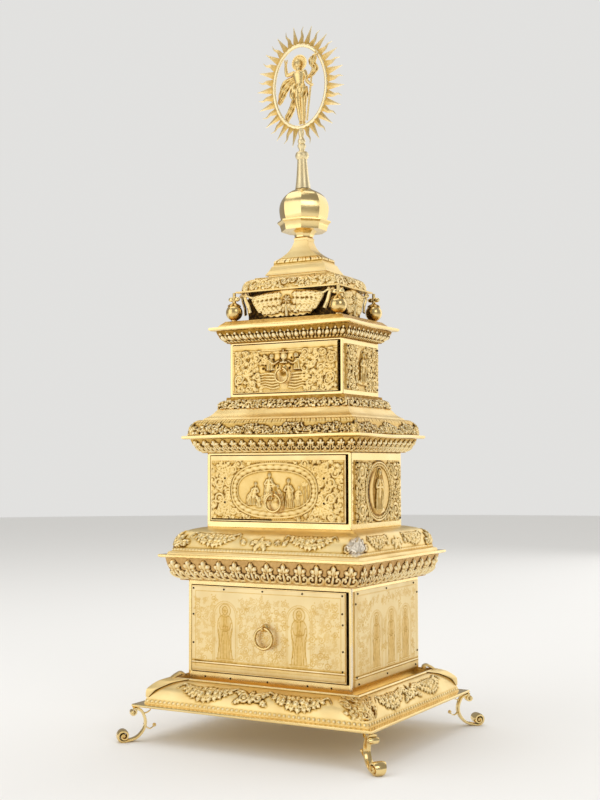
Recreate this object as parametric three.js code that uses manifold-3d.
// Reliquary casket: a silver-gilt tower of three drawers on a skirted base with scroll feet,
// crowned by a swagged roof, an onion dome on a spire and a rayed glory with a standing figure.
// Millimetres, +Z up. The front faces -Y, and the origin is on the ground below the casket's middle.
import * as THREE from 'three';
import { mergeVertices } from 'three/addons/utils/BufferGeometryUtils.js';
import Module from 'manifold-3d';

const wasm = await Module();
wasm.setup();

// Driving dimensions. Heights are counted from the underside of the base plate.
const FOOT_HEIGHT = 37;
const SEAM = 0.3;
const SHEET = 1.2;
const EMBED = 0.6;
const FLATTEN = 0.58;

const FOOT = {
  strap: 2, strapWidth: 7, voluteWidth: 12.4, scrollWidth: 10, volute: 7.2, scroll: 4.2, wear: 0.9,
};
const BASE_PLATE = { halfWidth: 143, halfDepth: 125.5, thickness: 2.8 };
const LOWER = { name: 'lower', halfWidth: 100, halfDepth: 81, bottom: 24.4, top: 133.3, wall: 4 };
const MIDDLE = { name: 'middle', halfWidth: 89.5, halfDepth: 60.5, bottom: 189.8, top: 271, wall: 4 };
const UPPER = { name: 'upper', halfWidth: 71, halfDepth: 42.5, bottom: 332.6, top: 393, wall: 3.5 };

// Each drawer sits a little to the left in its opening, so its right-hand gap is the wide one.
const DRAWERS = {
  lower: { opening: [35.6, 128.4], depth: 148, trayHeight: 72 },
  middle: { opening: [196.4, 268.4], depth: 108, trayHeight: 54 },
  upper: { opening: [336, 390.8], depth: 74, trayHeight: 40 },
};
const DRAWER_GAP = { left: 0.5, right: 2.8, below: 0.7, above: 0.7 };
const DRAWER_FRONT = 5;
const TRAY_WALL = 3;

// Ring pulls: outer diameter, wire thickness, and the height of the ring's middle.
const RINGS = {
  lower: { outer: 24, wire: 3, middle: 76.5 },
  middle: { outer: 21, wire: 2.8, middle: 217.2 },
  upper: { outer: 17.5, wire: 2.5, middle: 354.6 },
};
const EYE = { wire: 1.7, play: 0.6, standOff: 5.2, rose: 4.6, roseThickness: 1 };

// Moulding profiles: how far each level stands out from its case, and its height.
const SKIRT = [[32.8, 2.8], [32, 9], [28.4, 17.4], [20.6, 24.6], [12, 28], [9.5, 28], [9, 24.4]];
const LOWER_OVOLO = [[6.5, 133.3], [6.5, 135.6], [13.6, 142.6], [18.2, 158.2]];
const MIDDLE_OVOLO = [[3.9, 271], [3.9, 272.6], [8.6, 276.6], [13.6, 286.4]];
const UPPER_OVOLO = [[2.9, 393], [2.9, 394.6], [6.8, 397.4], [11.4, 406.4]];
const GARLAND_BAND = [[33, 290], [32.2, 294.4], [28.6, 304.6], [22.3, 307.4]];
const COVE = [[22.3, 307.4], [20.4, 309.4], [16.6, 311.8], [14, 314.2], [11.6, 317.4], [9.6, 319.8]];
const LEAF_BAND = [[9.6, 319.8], [9.4, 322], [7.2, 327.6], [2.9, 332.6]];
const FLANGES = {
  lower: { overhang: 24, bottom: 158.2, top: 161.6 },
  middle: { overhang: 20.7, bottom: 286.4, top: 290 },
  upper: { overhang: 17.7, bottom: 406.4, top: 410 },
};
const FLANGE_EDGE = { lip: 1.1, undercut: 1.6, round: 0.7 };

// The cushion runs from the lower flange in to the middle case, further in depth than in width.
const CUSHION = [
  [117.6, 98.6, 161.6], [116.4, 97, 164.8], [114, 94.6, 165.4], [115.4, 92.4, 171], [111, 85.4, 181.4],
  [103, 75, 187.2], [92, 63.4, 189.8],
];
const ROOF_PLINTH = [
  [79.6, 55.6, 410], [73.8, 50, 416.4], [73, 49.2, 417.2], [54, 31, 417.2], [54, 31, 449.4],
];
const ROOF = [
  [65, 41.5, 449.4], [65, 41.5, 451], [60, 36.6, 451.4], [58.4, 35, 457.4], [56, 32.6, 461.8],
  [52.4, 29.6, 464.2], [48.6, 27.8, 464.8], [48, 27.2, 466.8],
];
const ROOF_CAP = [
  [36, 17, 466.8], [36, 17, 469.6], [39.2, 20, 469.8], [38.6, 19.4, 471.2], [35.6, 17, 475.6],
  [33.4, 15.4, 480], [31.4, 14.8, 480.8], [30.4, 14.2, 485.8], [27.6, 13.2, 487.4], [26, 12.6, 488.4],
  [20.4, 11.6, 491.6],
  [15, 10.4, 496.2], [11.2, 9.8, 502.6], [9.4, 9.4, 508.4],
];

// Eight-sided turnings of the crown: radius to the corners, and height.
const NECK_RING = [[9.6, 507.6], [10.6, 508.6], [10.6, 511.4], [9.4, 512.4]];
const DOME_CUP = [
  [9.2, 512.4], [10, 515.4], [13.4, 519], [24.2, 519.4], [26.2, 524], [30.2, 529], [30.2, 530.4],
];
const DOME = [
  [25.4, 530.4], [27.2, 537], [28, 545.4], [26.5, 552.8], [23, 558.6], [18, 562.8],
  [12.4, 565.6], [9.2, 567.2],
];
const SPIRE = [
  [8.8, 567.8], [7.6, 575], [6.5, 583], [5.6, 591], [4.8, 601.6], [6.6, 603.2], [7.6, 606.2], [6.6, 609.4],
  [3, 611.4], [3.6, 614.4], [4.9, 617.4], [3.4, 620], [4.5, 622.8], [2.5, 627], [3.4, 632], [2.7, 637.4],
];
const LEAN = THREE.MathUtils.degToRad(1.7);

const BALL = { x: 62.5, y: 39.8, height: 429, radius: 8.8, pad: 5.4, stem: 1.9, petal: 5.6 };
const SWAG = { top: 446.6, tip: 419, inset: 10.5, ribbon: 13.5, reach: 3.4, thickness: 2.6 };
const GLORY = { height: 686, innerX: 31.8, innerZ: 45, band: 3, rays: 34, ray: 19.6, thickness: 2.6 };
const CORNER_LEAF = { rise: 3.2, width: 26, tip: 5, notch: 0.18, lift: 0.3 };

// Plates on the tiers' faces. Figures are given as place along the plaque and height, leaves as place along,
// height from the middle, half width, half length and turn.
const BACK_PLATE = { inset: 6, below: 5 };
const LOWER_PLATE = { inset: 1 };
const LOWER_SIDE_PLATE = { inset: 4, bottom: 33, top: 129 };
const MIDDLE_SIDE_PLAQUE = {
  inset: 6.4, bottom: 196, top: 262.6, oval: { across: 0.47, up: 0.92, band: 2.4, rise: 1.8 },
};
const UPPER_SIDE_PLAQUE = { inset: 5, bottom: 337.4, top: 387 };
const SIDE_FIGURE = { foot: 0.66, height: 1.36 };
const SIDE_SPRAY = { along: 0.74, up: 0.6, halfWidth: 0.11, halfLength: 0.3, turn: 0.5 };
const MIDDLE_SCENE = {
  inset: 2,
  top: 262.6,
  shift: -1,
  oval: { halfWidth: 53.5, halfHeight: 29.6, band: 3, rise: 2 },
  ground: -17,
  figures: [[-34, 21], [-22, 27], [20, 27], [32, 22]],
  seated: { up: 7.4, height: 13 },
  sprays: [[66, 20, 4, 9, 0.9], [74, 10, 3, 8, 0.2], [53, 27, 2.6, 7, 1.3]],
};
const UPPER_SCENE = {
  insetX: 1.6,
  insetZ: 0.6,
  middle: 27,
  angel: { along: 19, up: -6, height: 24 },
  wings: [[28, 8, 3.6, 9, 0.7], [24, -13, 9, 4, 0.3]],
  vase: { up: 9, profile: [[1.6, 0], [1.4, 3], [3.8, 6], [3.2, 10], [4.4, 12]] },
  scrolls: [[44, 14, 3.2, 8, -0.8], [52, 1, 3.2, 8, 0], [60, -12, 3.2, 8, 0.8]],
};
const GARLANDS = {
  skirt: { place: 0.43, reach: 0.36, height: 21.4, sag: 1, fruit: 6.8 },
  cushion: { place: 0.47, reach: 0.36, height: 176.8, sag: 1, fruit: 6.8 },
};
const ROOF_SPRAY = { halfWidth: 9, halfHeight: 4.4, rise: 2, height: 458.4 };

// Leaves along each banded moulding: how many on the front and on the side, and how far they stand out.
const LEAVES = {
  lower: { front: 12, side: 10, band: 2, rise: 3 },
  middle: { front: 12, side: 9, band: 2, rise: 2.4 },
  upper: { front: 11, side: 7, band: 2, rise: 2 },
  garland: { front: 11, side: 8, band: 1, rise: 2.8 },
  bud: { front: 11, side: 7, band: 1, rise: 1.8 },
};

// Finishes of the gilding.
const BURNISHED = { color: 0xe3c578, roughness: 0.22, metalness: 1 };
const CHASED = { color: 0xd2ab59, roughness: 0.4, metalness: 1 };
const ENGRAVED = { color: 0xe6d095, roughness: 0.36, metalness: 1 };
const LINING = { color: 0x8a6a3a, roughness: 0.6, metalness: 0.4 };

const SIDES = {
  front: { angle: 0, reach: (level) => level.halfDepth, span: (level) => level.halfWidth },
  right: { angle: Math.PI / 2, reach: (level) => level.halfWidth, span: (level) => level.halfDepth },
  back: { angle: Math.PI, reach: (level) => level.halfDepth, span: (level) => level.halfWidth },
  left: { angle: -Math.PI / 2, reach: (level) => level.halfWidth, span: (level) => level.halfDepth },
};
const QUARTERS = [[-1, -1], [-1, 1], [1, -1], [1, 1]];
const CORNERS = {
  front_right: [1, -1],
  back_right: [1, 1],
  back_left: [-1, 1],
  front_left: [-1, -1],
};

// Solids: joining, cutting and placing.
function solidOf(geometry) {
  const bare = geometry.index ? geometry.toNonIndexed() : geometry.clone();
  bare.deleteAttribute('normal');
  bare.deleteAttribute('uv');
  const merged = mergeVertices(bare, 1e-4);
  const corners = Array.from(merged.index.array);
  const kept = [];
  for (let i = 0; i < corners.length; i += 3) {
    const [a, b, c] = corners.slice(i, i + 3);
    if (a !== b && b !== c && c !== a) kept.push(a, b, c);
  }
  return new wasm.Manifold(new wasm.Mesh({
    numProp: 3,
    vertProperties: merged.attributes.position.array,
    triVerts: Uint32Array.from(kept),
  }));
}

function geometryOf(solid) {
  const mesh = solid.getMesh();
  const geometry = new THREE.BufferGeometry();
  geometry.setAttribute('position', new THREE.BufferAttribute(Float32Array.from(mesh.vertProperties), 3));
  geometry.setIndex(new THREE.BufferAttribute(Uint32Array.from(mesh.triVerts), 1));
  geometry.computeVertexNormals();
  return geometry;
}

function join(...geometries) {
  return geometryOf(geometries.map(solidOf).reduce((whole, next) => whole.add(next)));
}

function cut(geometry, ...tools) {
  return geometryOf(tools.map(solidOf).reduce((rest, tool) => rest.subtract(tool), solidOf(geometry)));
}

function block(low, high) {
  const size = high.map((value, axis) => value - low[axis]);
  const middle = high.map((value, axis) => (value + low[axis]) / 2);
  return new THREE.BoxGeometry(...size).translate(...middle);
}

// A closed skin through rings of points, each listed anticlockwise seen from above, lowest ring first.
function loft(rings) {
  const size = rings[0].length;
  const last = (rings.length - 1) * size;
  const faces = [];
  for (let base = 0; base < last; base += size) {
    for (let i = 0; i < size; i += 1) {
      const next = (i + 1) % size;
      faces.push(base + i, base + next, base + size + next);
      faces.push(base + i, base + size + next, base + size + i);
    }
  }
  for (let i = 1; i < size - 1; i += 1) {
    faces.push(0, i + 1, i);
    faces.push(last, last + i, last + i + 1);
  }
  const geometry = new THREE.BufferGeometry().setFromPoints(rings.flat());
  geometry.setIndex(faces);
  geometry.computeVertexNormals();
  return geometry;
}

function rectangleRing({ halfWidth, halfDepth, z }) {
  return [[-1, -1], [1, -1], [1, 1], [-1, 1]].map(
    ([x, y]) => new THREE.Vector3(x * halfWidth, y * halfDepth, z),
  );
}

function roundRing(radius, z, sides, flatten = 1) {
  return Array.from({ length: sides }, (_, i) => {
    const angle = ((i + 0.5) * 2 * Math.PI) / sides;
    return new THREE.Vector3(radius * Math.cos(angle), flatten * radius * Math.sin(angle), z);
  });
}

const around = (tier, profile) => profile.map(
  ([offset, z]) => ({ halfWidth: tier.halfWidth + offset, halfDepth: tier.halfDepth + offset, z }),
);
const asLevels = (rows) => rows.map(([halfWidth, halfDepth, z]) => ({ halfWidth, halfDepth, z }));
const moulding = (levels) => loft(levels.map(rectangleRing));
const turning = (profile, sides = 8) => loft(profile.map(([radius, z]) => roundRing(radius, z, sides)));
const nugget = (x, y, z) => new THREE.IcosahedronGeometry(1, 0).scale(x, y, z);
const leafLump = (x, y, z) => new THREE.OctahedronGeometry(1, 0).scale(x, y, z);

// Sets a lump on a moulding's sloping face: its x runs along the side, its y up the slope, its z outwards.
function onSlope(lump, levels, side, along, height) {
  const above = levels.findIndex((level) => level.z > height);
  const low = levels[above - 1];
  const high = levels[above];
  const share = (height - low.z) / (high.z - low.z);
  const reach = THREE.MathUtils.lerp(side.reach(low), side.reach(high), share);
  const slope = new THREE.Vector3(0, side.reach(low) - side.reach(high), high.z - low.z).normalize();
  const alongAxis = new THREE.Vector3(1, 0, 0);
  const outward = alongAxis.clone().cross(slope);
  const place = new THREE.Matrix4().makeBasis(alongAxis, slope, outward);
  place.setPosition(new THREE.Vector3(along, -reach, height).addScaledVector(outward, -EMBED));
  return lump.clone().applyMatrix4(place).rotateZ(side.angle);
}

// A moulding whose band between two levels is a row of pointed leaves.
// Each leaf is a raised cell with its tip set high.
function leafMoulding(levels, { front, side, band, rise }) {
  const counts = [front, side, front, side];
  const rings = levels.map((level) => rectangleRing(level).flatMap((corner, i, corners) => Array.from(
    { length: counts[i] }, (_, step) => corner.clone().lerp(corners[(i + 1) % 4], step / counts[i]),
  )));
  const size = rings[0].length;
  const plain = loft(rings);
  const tips = rings[band].map((point, i) => {
    const ends = [point, rings[band][(i + 1) % size], rings[band + 1][i], rings[band + 1][(i + 1) % size]];
    const out = ends[1].clone().sub(ends[0]).cross(ends[2].clone().sub(ends[0])).normalize();
    const foot = ends[0].clone().lerp(ends[1], 0.5).lerp(ends[2].clone().lerp(ends[3], 0.5), 0.6);
    return foot.addScaledVector(out, rise);
  });
  const first = band * size;
  const inBand = (corner) => corner >= first && corner < first + 2 * size;
  const faces = [];
  const corners = Array.from(plain.index.array);
  for (let i = 0; i < corners.length; i += 3) {
    const face = corners.slice(i, i + 3);
    const low = face.filter((corner) => corner < first + size).length;
    if (!face.every(inBand) || low % 3 === 0) faces.push(...face);
  }
  tips.forEach((_, i) => {
    const next = (i + 1) % size;
    const cell = [first + i, first + next, first + size + next, first + size + i];
    cell.forEach((corner, k) => faces.push(corner, cell[(k + 1) % 4], rings.length * size + i));
  });
  const geometry = new THREE.BufferGeometry().setFromPoints([...rings.flat(), ...tips]);
  geometry.setIndex(faces);
  geometry.computeVertexNormals();
  return geometry;
}

// A hanging bunch of fruit and leaves: fat in the middle, thin at its ends.
function garland(levels, side, middle, { height, length, sag, fruit }) {
  return [-1, -0.45, 0, 0.45, 1].map((share) => {
    const size = fruit * (1 - 0.3 * Math.abs(share));
    const lump = leafLump(size, size * 0.72, size * 0.68);
    return onSlope(lump, levels, side, middle + (share * length) / 2, height - sag * (1 - Math.abs(share)));
  });
}

function garlands(levels, { place, reach, ...shape }) {
  return Object.values(SIDES).flatMap((side) => [-1, 1].flatMap((hand) => {
    const span = side.span(levels[0]);
    return garland(levels, side, hand * place * span, { length: reach * span, ...shape });
  }));
}

// An acanthus leaf folded over a moulding's corner, widest at its foot, with its tip on top.
function cornerLeaf(levels, [signX, signY], inset, { rise, width, tip, notch, lift }) {
  const rings = levels.map(({ halfWidth, halfDepth, z }, i) => {
    const share = i / (levels.length - 1);
    const wing = THREE.MathUtils.lerp(width, tip, share ** 1.5) * (1 - notch * (i % 2));
    const at = (out, backX, backY) => new THREE.Vector3(
      signX * (halfWidth + out - backX), signY * (halfDepth + out - backY), z + out * lift,
    );
    const fold = at(inset, 0, 0);
    const edge = [
      at(inset, wing, 0), at(rise, wing, 0), at(rise, 0, 0), at(rise, 0, wing), at(inset, 0, wing),
    ];
    return [fold, ...(signX * signY > 0 ? edge.reverse() : edge)];
  });
  return loft(rings);
}

// A flat band of constant thickness along a path in the XZ plane, extruded to its width across Y.
function strap(points, thickness, width) {
  const edges = [[], []];
  points.forEach((point, i) => {
    const before = points[Math.max(i - 1, 0)];
    const after = points[Math.min(i + 1, points.length - 1)];
    const across = after.clone().sub(before).normalize().multiplyScalar(thickness / 2);
    edges[0].push(new THREE.Vector2(point.x - across.y, point.y + across.x));
    edges[1].unshift(new THREE.Vector2(point.x + across.y, point.y - across.x));
  });
  const shape = new THREE.Shape([...edges[0], ...edges[1]]);
  const band = new THREE.ExtrudeGeometry(shape, { depth: width, bevelEnabled: false });
  return band.rotateX(Math.PI / 2).translate(0, width / 2, 0);
}

function spiral(centre, [startRadius, endRadius], [startAngle, endAngle], steps) {
  return Array.from({ length: steps + 1 }, (_, i) => {
    const angle = THREE.MathUtils.degToRad(THREE.MathUtils.lerp(startAngle, endAngle, i / steps));
    const radius = THREE.MathUtils.lerp(startRadius, endRadius, i / steps);
    return new THREE.Vector2(centre.x + radius * Math.cos(angle), centre.y + radius * Math.sin(angle));
  });
}

// A scroll foot seen from the side: x points outwards from the plate's corner, y up from the ground.
// Its big volute is worn flat where it stands.
function foot() {
  const voluteMiddle = new THREE.Vector2(8.6, FOOT.volute + FOOT.strap / 2 - FOOT.wear);
  const volute = spiral(voluteMiddle, [FOOT.volute, 3.4], [-108, 288], 11);
  const scrollMiddle = new THREE.Vector2(-1.4, FOOT_HEIGHT - SEAM - FOOT.strap / 2 - FOOT.scroll);
  const scroll = spiral(scrollMiddle, [FOOT.scroll, 2], [90, 370], 5);
  const bow = new THREE.SplineCurve([
    scroll[0],
    new THREE.Vector2(-9.6, 33.6),
    new THREE.Vector2(-15, 22),
    new THREE.Vector2(-9.4, 7.6),
    volute[0],
  ]).getPoints(6);
  const tendril = new THREE.SplineCurve([
    new THREE.Vector2(-13.8, 17.4), new THREE.Vector2(-19, 12.6), new THREE.Vector2(-24.4, 15.6),
  ]).getPoints(3);
  const bud = leafLump(2.2, 2.2, 2.2).translate(-24.6, 0, 16.2);
  const scrollwork = join(
    strap(bow, FOOT.strap, FOOT.strapWidth),
    strap(volute, FOOT.strap, FOOT.voluteWidth),
    strap(scroll, FOOT.strap, FOOT.scrollWidth),
    strap(tendril, FOOT.strap * 0.8, FOOT.strapWidth * 0.6),
    bud,
  );
  const ground = block([-FOOT_HEIGHT, -FOOT_HEIGHT, -FOOT_HEIGHT], [FOOT_HEIGHT, FOOT_HEIGHT, 0]);
  return cut(scrollwork, ground);
}

// The hollow case of one tier, open to the front for its drawer.
function caseBox(tier) {
  const { halfWidth, halfDepth, bottom, top, wall } = tier;
  const [floor, ceiling] = DRAWERS[tier.name].opening;
  const outside = block([-halfWidth, -halfDepth, bottom], [halfWidth, halfDepth, top]);
  const inside = block(
    [wall - halfWidth, -halfDepth - wall, floor],
    [halfWidth - wall, halfDepth - wall, ceiling],
  );
  return cut(outside, inside);
}

function drawerBounds(tier) {
  const [floor, ceiling] = DRAWERS[tier.name].opening;
  return {
    left: tier.wall - tier.halfWidth + DRAWER_GAP.left,
    right: tier.halfWidth - tier.wall - DRAWER_GAP.right,
    bottom: floor + DRAWER_GAP.below,
    top: ceiling - DRAWER_GAP.above,
    face: -tier.halfDepth,
  };
}

// A drawer: a front board with an open tray behind it.
function drawer(tier) {
  const { left, right, bottom, top, face } = drawerBounds(tier);
  const { depth, trayHeight } = DRAWERS[tier.name];
  const back = face + depth;
  const board = block([left, face, bottom], [right, face + DRAWER_FRONT, top]);
  const tray = block([left + 1, face + DRAWER_FRONT - EMBED, bottom], [right - 1, back, bottom + trayHeight]);
  const hollow = block(
    [left + 1 + TRAY_WALL, face + DRAWER_FRONT, bottom + TRAY_WALL],
    [right - 1 - TRAY_WALL, back - TRAY_WALL, top + TRAY_WALL],
  );
  return cut(join(board, tray), hollow);
}

// A thin plate on a tier's face, with its border set in from the edges given.
function facePlate(reach, [left, bottom], [right, top]) {
  return block([left, -reach - SHEET, bottom], [right, -reach, top]);
}

// Everything behind a wall at the given reach, to trim relief flush with its plate's back.
function behind(reach) {
  const far = BASE_PLATE.halfWidth;
  return block([-far, -reach, 0], [far, far, GLORY.height]);
}

// Relief lumps are modelled on the front: x along, z up, and standing out towards -Y from the given face.
function reliefFigure(x, foot, height, face) {
  const rings = [[0.2, 0], [0.15, 0.42], [0.18, 0.7], [0.06, 0.84]].map(
    ([radius, level]) => roundRing(radius * height, level * height, 5, FLATTEN),
  );
  const head = leafLump(0.1, 0.1, 0.12).scale(height, height, height).translate(0, 0, 0.9 * height);
  return [loft(rings), head].map((lump) => lump.translate(x, -face + EMBED, foot));
}

function reliefLeaf(x, z, [halfWidth, halfLength], face, turn = 0) {
  return leafLump(halfWidth, 2, halfLength).rotateY(turn).translate(x, -face + EMBED, z);
}

// An oval frame lying on a plate.
function ovalFrame(x, z, { halfWidth, halfHeight, band, rise }, face, steps) {
  const outline = (grow) => {
    const oval = new THREE.EllipseCurve(0, 0, halfWidth + grow, halfHeight + grow);
    return oval.getPoints(steps).slice(1);
  };
  const shape = new THREE.Shape(outline(0));
  shape.holes.push(new THREE.Path(outline(-band)));
  const ring = new THREE.ExtrudeGeometry(shape, { depth: rise + EMBED, bevelEnabled: false });
  return ring.rotateX(Math.PI / 2).translate(x, -face + EMBED, z);
}

// The middle drawer's plaque: a scene of standing figures in an oval frame, with leaf sprays in the corners.
function middlePlaque() {
  const { left, right, bottom, face } = drawerBounds(MIDDLE);
  const { inset, top, shift, oval, ground, seated } = MIDDLE_SCENE;
  const front = -face + SHEET;
  const x = (left + right) / 2 + shift;
  const z = (bottom + top) / 2;
  const plate = facePlate(-face, [left + inset, bottom + inset / 2], [right - inset, top]);
  const frame = ovalFrame(x, z, oval, front, 22);
  const figures = MIDDLE_SCENE.figures.flatMap(
    ([along, height]) => reliefFigure(x + along, z + ground, height, front),
  );
  const onHigh = reliefFigure(x, z + seated.up, seated.height, front);
  const sprays = MIDDLE_SCENE.sprays.flatMap(([along, up, halfWidth, halfLength, turn]) => QUARTERS.map(
    ([hand, rise]) => reliefLeaf(
      x + hand * along, z + rise * up, [halfWidth, halfLength], front, hand * rise * turn,
    ),
  ));
  return cut(join(plate, frame, ...figures, ...onHigh, ...sprays), behind(-face));
}

// The upper drawer's plaque: two winged half figures beside a vase, with leaf scrolls at the ends.
function upperPlaque() {
  const { left, right, bottom, top, face } = drawerBounds(UPPER);
  const { insetX, insetZ, middle, angel, wings, vase, scrolls } = UPPER_SCENE;
  const front = -face + SHEET;
  const x = (left + right) / 2;
  const z = bottom + middle;
  const plate = facePlate(-face, [left + insetX, bottom + insetZ], [right - insetX, top - insetZ]);
  const angels = [-1, 1].flatMap(
    (hand) => reliefFigure(x + hand * angel.along, z + angel.up, angel.height, front),
  );
  const leaves = [...wings, ...scrolls].flatMap(([along, up, halfWidth, halfLength, turn]) => [-1, 1].map(
    (hand) => reliefLeaf(x + hand * along, z + up, [halfWidth, halfLength], front, hand * turn),
  ));
  const cup = loft(vase.profile.map(([radius, level]) => roundRing(radius, level, 6, FLATTEN)));
  cup.translate(x, -front + EMBED, z + vase.up);
  return cut(join(plate, ...angels, cup, ...leaves), behind(-face));
}

// A side plaque: one standing figure in an upright oval or bare ground, among leaf sprays.
function sidePlaque(tier, side, { bottom, top, inset, oval }) {
  const span = tier.halfDepth - inset;
  const front = tier.halfWidth + SHEET;
  const z = (bottom + top) / 2;
  const half = (top - bottom) / 2;
  const plate = facePlate(tier.halfWidth, [-span, bottom], [span, top]);
  const figure = reliefFigure(0, z - half * SIDE_FIGURE.foot, half * SIDE_FIGURE.height, front);
  const { along, up, halfWidth, halfLength, turn } = SIDE_SPRAY;
  const sprays = QUARTERS.map(([hand, rise]) => reliefLeaf(
    hand * span * along, z + rise * half * up,
    [span * halfWidth, half * halfLength], front, hand * rise * turn,
  ));
  const reliefs = [...figure, ...sprays];
  if (oval) {
    const shape = { ...oval, halfWidth: span * oval.across, halfHeight: half * oval.up };
    reliefs.push(ovalFrame(0, z, shape, front, 14));
  }
  return cut(join(plate, ...reliefs), behind(tier.halfWidth)).rotateZ(side.angle);
}

// The eye on a drawer: a rose plate, a stem and a loop whose hole runs along X.
function ringPlace(tier) {
  const ring = RINGS[tier.name];
  const { left, right, face } = drawerBounds(tier);
  return {
    x: (left + right) / 2,
    y: face - SHEET - EYE.standOff,
    z: ring.middle + (ring.outer - ring.wire) / 2,
  };
}

function ringEye(tier) {
  const ring = RINGS[tier.name];
  const place = ringPlace(tier);
  const radius = ring.wire / 2 + EYE.play + EYE.wire / 2;
  const loop = new THREE.TorusGeometry(radius, EYE.wire / 2, 5, 8).rotateY(Math.PI / 2);
  const stemLength = EYE.standOff - radius - EYE.roseThickness / 2;
  const stem = new THREE.CylinderGeometry(EYE.wire / 2, EYE.wire / 2, stemLength, 5);
  stem.translate(0, radius + stemLength / 2, 0);
  const rose = new THREE.CylinderGeometry(EYE.rose, EYE.rose - 1, EYE.roseThickness, 8);
  rose.translate(0, EYE.standOff - EYE.roseThickness / 2 - SEAM / 2, 0);
  return join(loop, stem, rose).translate(place.x, place.y, place.z);
}

function ringPull(tier) {
  const ring = RINGS[tier.name];
  const place = ringPlace(tier);
  const radius = (ring.outer - ring.wire) / 2;
  return new THREE.TorusGeometry(radius, ring.wire / 2, 6, 16)
    .rotateX(Math.PI / 2)
    .translate(place.x, place.y, place.z - radius);
}

// A thin plate with a turned-up lip that throws a bright edge round a cornice.
function flange(tier) {
  const { overhang, bottom, top } = FLANGES[tier.name];
  const { lip, undercut, round } = FLANGE_EDGE;
  return moulding(around(tier, [
    [overhang - undercut, bottom], [overhang, bottom + lip], [overhang, top - round], [overhang - round, top],
  ]));
}

// A corner ball on its pad, with a petal cap and a stem up to the roof.
function cornerBall([signX, signY]) {
  const { x, y, height, radius, pad, stem, petal } = BALL;
  const globe = [-55, -20, 20, 55].map((latitude) => {
    const angle = THREE.MathUtils.degToRad(latitude);
    return [radius * Math.cos(angle), height + radius * Math.sin(angle)];
  });
  const cap = [
    [petal * 1.1, height + radius * 0.86], [petal, height + radius], [stem, height + radius * 1.3],
  ];
  const profile = [[pad, ROOF_PLINTH[2][2]], ...globe, ...cap, [stem, ROOF[0][2]]];
  return turning(profile).translate(signX * x, signY * y, 0);
}

// A festoon below the roof's rim: a leafy apron hung between two corner ribbons, with a tassel in the middle.
function swag(side) {
  const rim = { halfWidth: ROOF[0][0], halfDepth: ROOF[0][1] };
  const { top, tip, inset, ribbon, thickness } = SWAG;
  const drop = top - tip;
  const hook = side.span(rim) - inset;
  const apronTop = hook - inset;
  const apronFoot = hook * 0.5;
  const half = [
    [hook, 0], [hook + 2, -1.2], [hook - ribbon + 2, -drop * 0.74], [hook - ribbon - 2, -drop * 0.7],
    [hook - 3, -4.6], [apronTop, -6], [apronFoot + 2, -drop * 0.78], [apronFoot * 0.4, -drop * 0.86],
    [3, -drop * 0.84], [1.6, -drop],
  ];
  const upperEdge = [-0.5, 0, 0.5].map((share) => [share * apronTop, -1.4 - 6.4 * Math.abs(share)]);
  const mirrored = half.map(([x, z]) => [-x, z]).reverse();
  const outline = [...half, ...mirrored, ...upperEdge].map(([x, z]) => new THREE.Vector2(x, z));
  const shape = new THREE.Shape(outline);
  const apron = new THREE.ExtrudeGeometry(shape, { depth: thickness, bevelEnabled: false });
  apron.rotateX(Math.PI / 2);
  const rosette = nugget(5, 2.2, 5).translate(0, -thickness, -drop * 0.34);
  const leaves = [-1, 1].flatMap((hand) => [0.36, 0.68].map((share) => leafLump(apronTop * 0.14, 2.4, 8)
    .rotateY(hand * 0.6)
    .translate(hand * apronTop * share, -thickness, -drop * (0.52 - 0.2 * share))));
  const hang = side.reach(rim) - SWAG.reach;
  return join(apron, rosette, ...leaves).translate(0, -hang, top).rotateZ(side.angle);
}

// The roof: a thin rim, a swelling band with a raised ornament in the middle of each side, and a top fillet.
function roof() {
  const levels = asLevels(ROOF);
  const { halfWidth, halfHeight, rise, height } = ROOF_SPRAY;
  const spray = leafLump(halfWidth, halfHeight, rise);
  const sprays = Object.values(SIDES).map((side) => onSlope(spray, levels, side, 0, height));
  return join(moulding(levels), ...sprays);
}

function roofCap() {
  return join(moulding(asLevels(ROOF_CAP)), turning(NECK_RING));
}

// The glory: an oval band whose outer edge breaks into straight and wavy rays by turns.
// The place of one ray, at the foot, is left free for the spire.
function glory() {
  const { innerX, innerZ, band, rays, ray, thickness } = GLORY;
  const step = (2 * Math.PI) / (rays + 1);
  const onOval = (angle, grow, sway = 0) => {
    const x = Math.cos(angle);
    const z = Math.sin(angle);
    const out = new THREE.Vector2(x / innerX, z / innerZ).normalize();
    const base = new THREE.Vector2(innerX * x, innerZ * z).addScaledVector(out, grow);
    return base.addScaledVector(new THREE.Vector2(-out.y, out.x), sway);
  };
  const outline = [];
  for (let i = 1; i <= rays; i += 1) {
    const angle = i * step - Math.PI / 2;
    outline.push(onOval(angle - 0.44 * step, band));
    if (i % 2 === 0) {
      outline.push(onOval(angle, band + ray));
    } else {
      outline.push(onOval(angle, band + ray * 0.45, -0.2));
      outline.push(onOval(angle, band + ray * 0.96, 0.6));
      outline.push(onOval(angle, band + ray * 0.5, 2));
    }
    outline.push(onOval(angle + 0.44 * step, band));
  }
  const shape = new THREE.Shape(outline);
  shape.holes.push(new THREE.Path(Array.from({ length: 24 }, (_, i) => onOval((i * Math.PI) / 12, 0))));
  const star = new THREE.ExtrudeGeometry(shape, { depth: thickness, bevelEnabled: false });
  return star.rotateX(Math.PI / 2).translate(0, thickness / 2, 0);
}

function rod(from, to, radius, sides = 5) {
  const line = new THREE.LineCurve3(new THREE.Vector3(...from), new THREE.Vector3(...to));
  const section = new THREE.Shape(new THREE.EllipseCurve(0, 0, radius, radius).getPoints(sides).slice(1));
  return new THREE.ExtrudeGeometry(section, { steps: 1, extrudePath: line, bevelEnabled: false });
}

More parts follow.
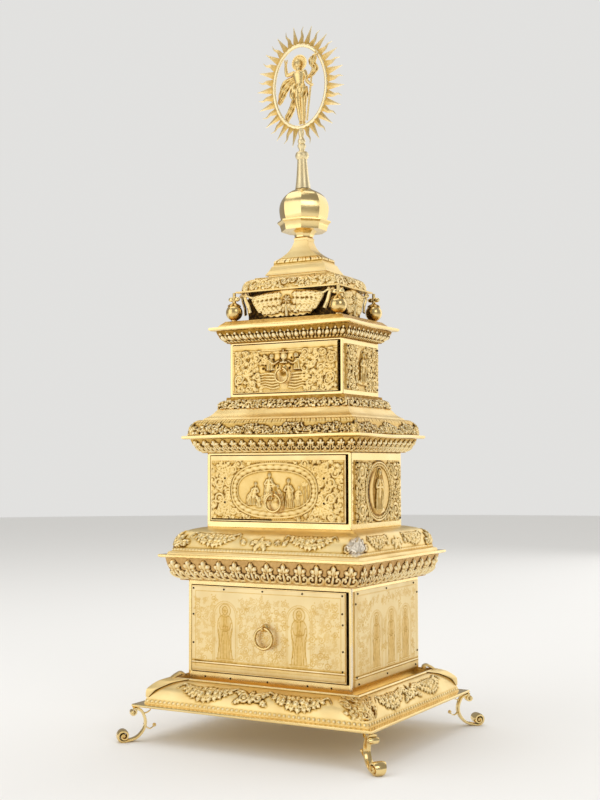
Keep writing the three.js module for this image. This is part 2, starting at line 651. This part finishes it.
function cloth(points, y, thickness) {
  const shape = new THREE.Shape(points.map(([x, z]) => new THREE.Vector2(x, z)));
  const sheet = new THREE.ExtrudeGeometry(shape, { depth: thickness, bevelEnabled: false });
  return sheet.rotateX(Math.PI / 2).translate(0, y, 0);
}

// The figure in the glory: draped from the hips, one arm raised, the other holding a staff with a banner.
// Heights are counted from the glory's middle.
function gloryFigure() {
  const floor = SEAM - GLORY.innerZ;
  const body = loft([[4, -8], [5.2, -2], [4.2, 5], [6.4, 15], [2, 19.4]].map(
    ([radius, z]) => roundRing(radius * 1.12, z, 6, 0.62),
  ));
  const drape = loft([[5.2, -20], [7.4, -9], [6.2, 0]].map(([radius, z]) => roundRing(radius, z, 6, 0.62)));
  const head = nugget(3.4, 3.2, 4.4).translate(-1.2, -0.8, 24.4);
  const halo = turning([[9.4, 0], [9.4, 1.2]], 10).rotateX(Math.PI / 2).translate(-1, 2.2, 26.4);
  const limbs = [
    rod([5.4, 0, 16], [8.6, -1.6, 4], 1.9),
    rod([8.4, -1.4, 4.4], [16.6, -1.8, -1.6], 1.6),
    rod([-5, 0, 16.2], [-15.4, -0.6, 15], 1.8),
    rod([-14.8, -0.6, 14], [-16.2, -0.4, 30], 1.6),
    rod([-1, 0, -16], [0.6, 0, floor + 3.4], 2.6),
    rod([3.4, 0.4, -16], [2.6, 0.4, floor + 3.4], 2.6),
  ];
  const feet = leafLump(4.6, 2.6, 2.2).translate(1.4, -0.6, floor + 2.6);
  const staff = rod([9, -1.6, -40.4], [18.6, -1.6, 22], 0.9, 4);
  const proud = -GLORY.thickness / 2 - SEAM;
  const banner = cloth([
    [17.6, 8], [27, 14], [25.6, 27], [19, 30], [15, 22], [12.4, 9.6], [9.6, 4.4], [14.6, 5.4],
  ], proud, 1.2);
  const crossBar = block([18.6, proud - 1.2, 31.6], [25, proud, 33]);
  const crossPost = block([21.2, proud - 1.2, 28], [22.6, proud, 36]);
  const mantle = cloth([
    [-3, 13], [-14, 11], [-24, 9], [-23, 0], [-28, -8], [-29.6, -13], [-26.4, -19], [-20, -14],
    [-15.6, -2], [-3, 6],
  ], 1.4, 1.6);
  const skirtEnd = cloth([
    [-4, -6], [-10, -18], [-15, -28], [-20.6, -33], [-16.6, -37.2], [-11.4, -30], [-6, -20], [0, -14],
  ], 1.2, 1.6);
  return join(body, drape, head, halo, ...limbs, feet, staff, banner, crossBar, crossPost, mantle, skirtEnd);
}

function piece(name, geometry, finish) {
  const mesh = new THREE.Mesh(geometry, new THREE.MeshStandardMaterial(finish));
  mesh.name = name;
  return mesh;
}

// The casket, from its feet up.
const casket = new THREE.Group();
const body = new THREE.Group();
body.position.z = FOOT_HEIGHT;
casket.add(body);

for (const [corner, [signX, signY]] of Object.entries(CORNERS)) {
  const support = new THREE.Group();
  support.position.set(signX * BASE_PLATE.halfWidth, signY * BASE_PLATE.halfDepth, 0);
  support.rotation.z = Math.atan2(signY, signX);
  support.add(piece(`foot_${corner}`, foot(), BURNISHED));
  casket.add(support);
}

const skirtLevels = around(LOWER, SKIRT);
const plateEdge = [BASE_PLATE.halfWidth, BASE_PLATE.halfDepth];
const basePlate = block([...plateEdge.map((edge) => -edge), 0], [...plateEdge, BASE_PLATE.thickness]);
body.add(piece('base_plate', basePlate, BURNISHED));
body.add(piece('base_skirt', join(
  moulding(skirtLevels),
  ...garlands(skirtLevels.slice(0, -2), GARLANDS.skirt),
), CHASED));
for (const [corner, signs] of Object.entries(CORNERS)) {
  const leaf = cornerLeaf(skirtLevels.slice(1, -2), signs, SEAM, CORNER_LEAF);
  body.add(piece(`base_leaf_${corner}`, leaf, CHASED));
}

for (const tier of [LOWER, MIDDLE, UPPER]) {
  const { name, halfWidth, halfDepth, top } = tier;
  const { bottom: drawerBottom } = drawerBounds(tier);
  body.add(piece(`${name}_case`, caseBox(tier), BURNISHED));
  body.add(piece(`${name}_drawer`, drawer(tier), LINING));
  const backEdge = halfWidth - BACK_PLATE.inset;
  const backPlate = facePlate(halfDepth, [-backEdge, drawerBottom], [backEdge, top - BACK_PLATE.below]);
  body.add(piece(`${name}_back_plate`, backPlate.rotateZ(SIDES.back.angle), ENGRAVED));
  body.add(piece(`${name}_ring_eye`, ringEye(tier), BURNISHED));
  body.add(piece(`${name}_ring`, ringPull(tier), BURNISHED));
  body.add(piece(`${name}_flange`, flange(tier), BURNISHED));
}

const { left, right, bottom, top } = drawerBounds(LOWER);
body.add(piece('lower_drawer_plate', facePlate(
  LOWER.halfDepth,
  [left + LOWER_PLATE.inset, bottom + LOWER_PLATE.inset],
  [right - LOWER_PLATE.inset, top - LOWER_PLATE.inset],
), ENGRAVED));
body.add(piece('middle_drawer_plaque', middlePlaque(), CHASED));
body.add(piece('upper_drawer_plaque', upperPlaque(), CHASED));
for (const hand of ['left', 'right']) {
  const side = SIDES[hand];
  const edge = LOWER.halfDepth - LOWER_SIDE_PLATE.inset;
  const plate = facePlate(LOWER.halfWidth, [-edge, LOWER_SIDE_PLATE.bottom], [edge, LOWER_SIDE_PLATE.top]);
  body.add(piece(`lower_side_plate_${hand}`, plate.rotateZ(side.angle), ENGRAVED));
  body.add(piece(`middle_side_plaque_${hand}`, sidePlaque(MIDDLE, side, MIDDLE_SIDE_PLAQUE), CHASED));
  body.add(piece(`upper_side_plaque_${hand}`, sidePlaque(UPPER, side, UPPER_SIDE_PLAQUE), CHASED));
}

for (const [tier, profile] of [[LOWER, LOWER_OVOLO], [MIDDLE, MIDDLE_OVOLO], [UPPER, UPPER_OVOLO]]) {
  const levels = around(tier, profile);
  body.add(piece(`${tier.name}_cornice`, leafMoulding(levels, LEAVES[tier.name]), CHASED));
}

const cushionLevels = asLevels(CUSHION);
const cushionSwell = cushionLevels.slice(3);
body.add(piece('lower_cushion', join(
  moulding(cushionLevels),
  ...garlands(cushionSwell, GARLANDS.cushion),
), CHASED));

body.add(piece('garland_band', leafMoulding(around(UPPER, GARLAND_BAND), LEAVES.garland), CHASED));
body.add(piece('cove_moulding', moulding(around(UPPER, COVE)), BURNISHED));
body.add(piece('leaf_band', leafMoulding(around(UPPER, LEAF_BAND), LEAVES.bud), CHASED));

body.add(piece('roof_plinth', moulding(asLevels(ROOF_PLINTH)), BURNISHED));
for (const [corner, signs] of Object.entries(CORNERS)) {
  body.add(piece(`ball_${corner}`, cornerBall(signs), BURNISHED));
}
for (const [name, side] of Object.entries(SIDES)) {
  body.add(piece(`swag_${name}`, swag(side), CHASED));
}
body.add(piece('roof', roof(), CHASED));
body.add(piece('roof_cap', roofCap(), BURNISHED));
body.add(piece('dome_cup', turning(DOME_CUP), BURNISHED));
body.add(piece('dome', turning(DOME), BURNISHED));

// The spire and the glory lean together, a little to the left.
const crown = new THREE.Group();
const crownFoot = DOME[DOME.length - 1][1];
crown.position.z = crownFoot;
crown.rotation.y = -LEAN;
body.add(crown);
crown.add(piece('spire', turning(SPIRE).translate(0, 0, -crownFoot), BURNISHED));
const vision = new THREE.Group();
vision.position.z = GLORY.height - crownFoot;
crown.add(vision);
vision.add(piece('glory', glory(), BURNISHED));
vision.add(piece('glory_figure', gloryFigure(), CHASED));

export default casket;
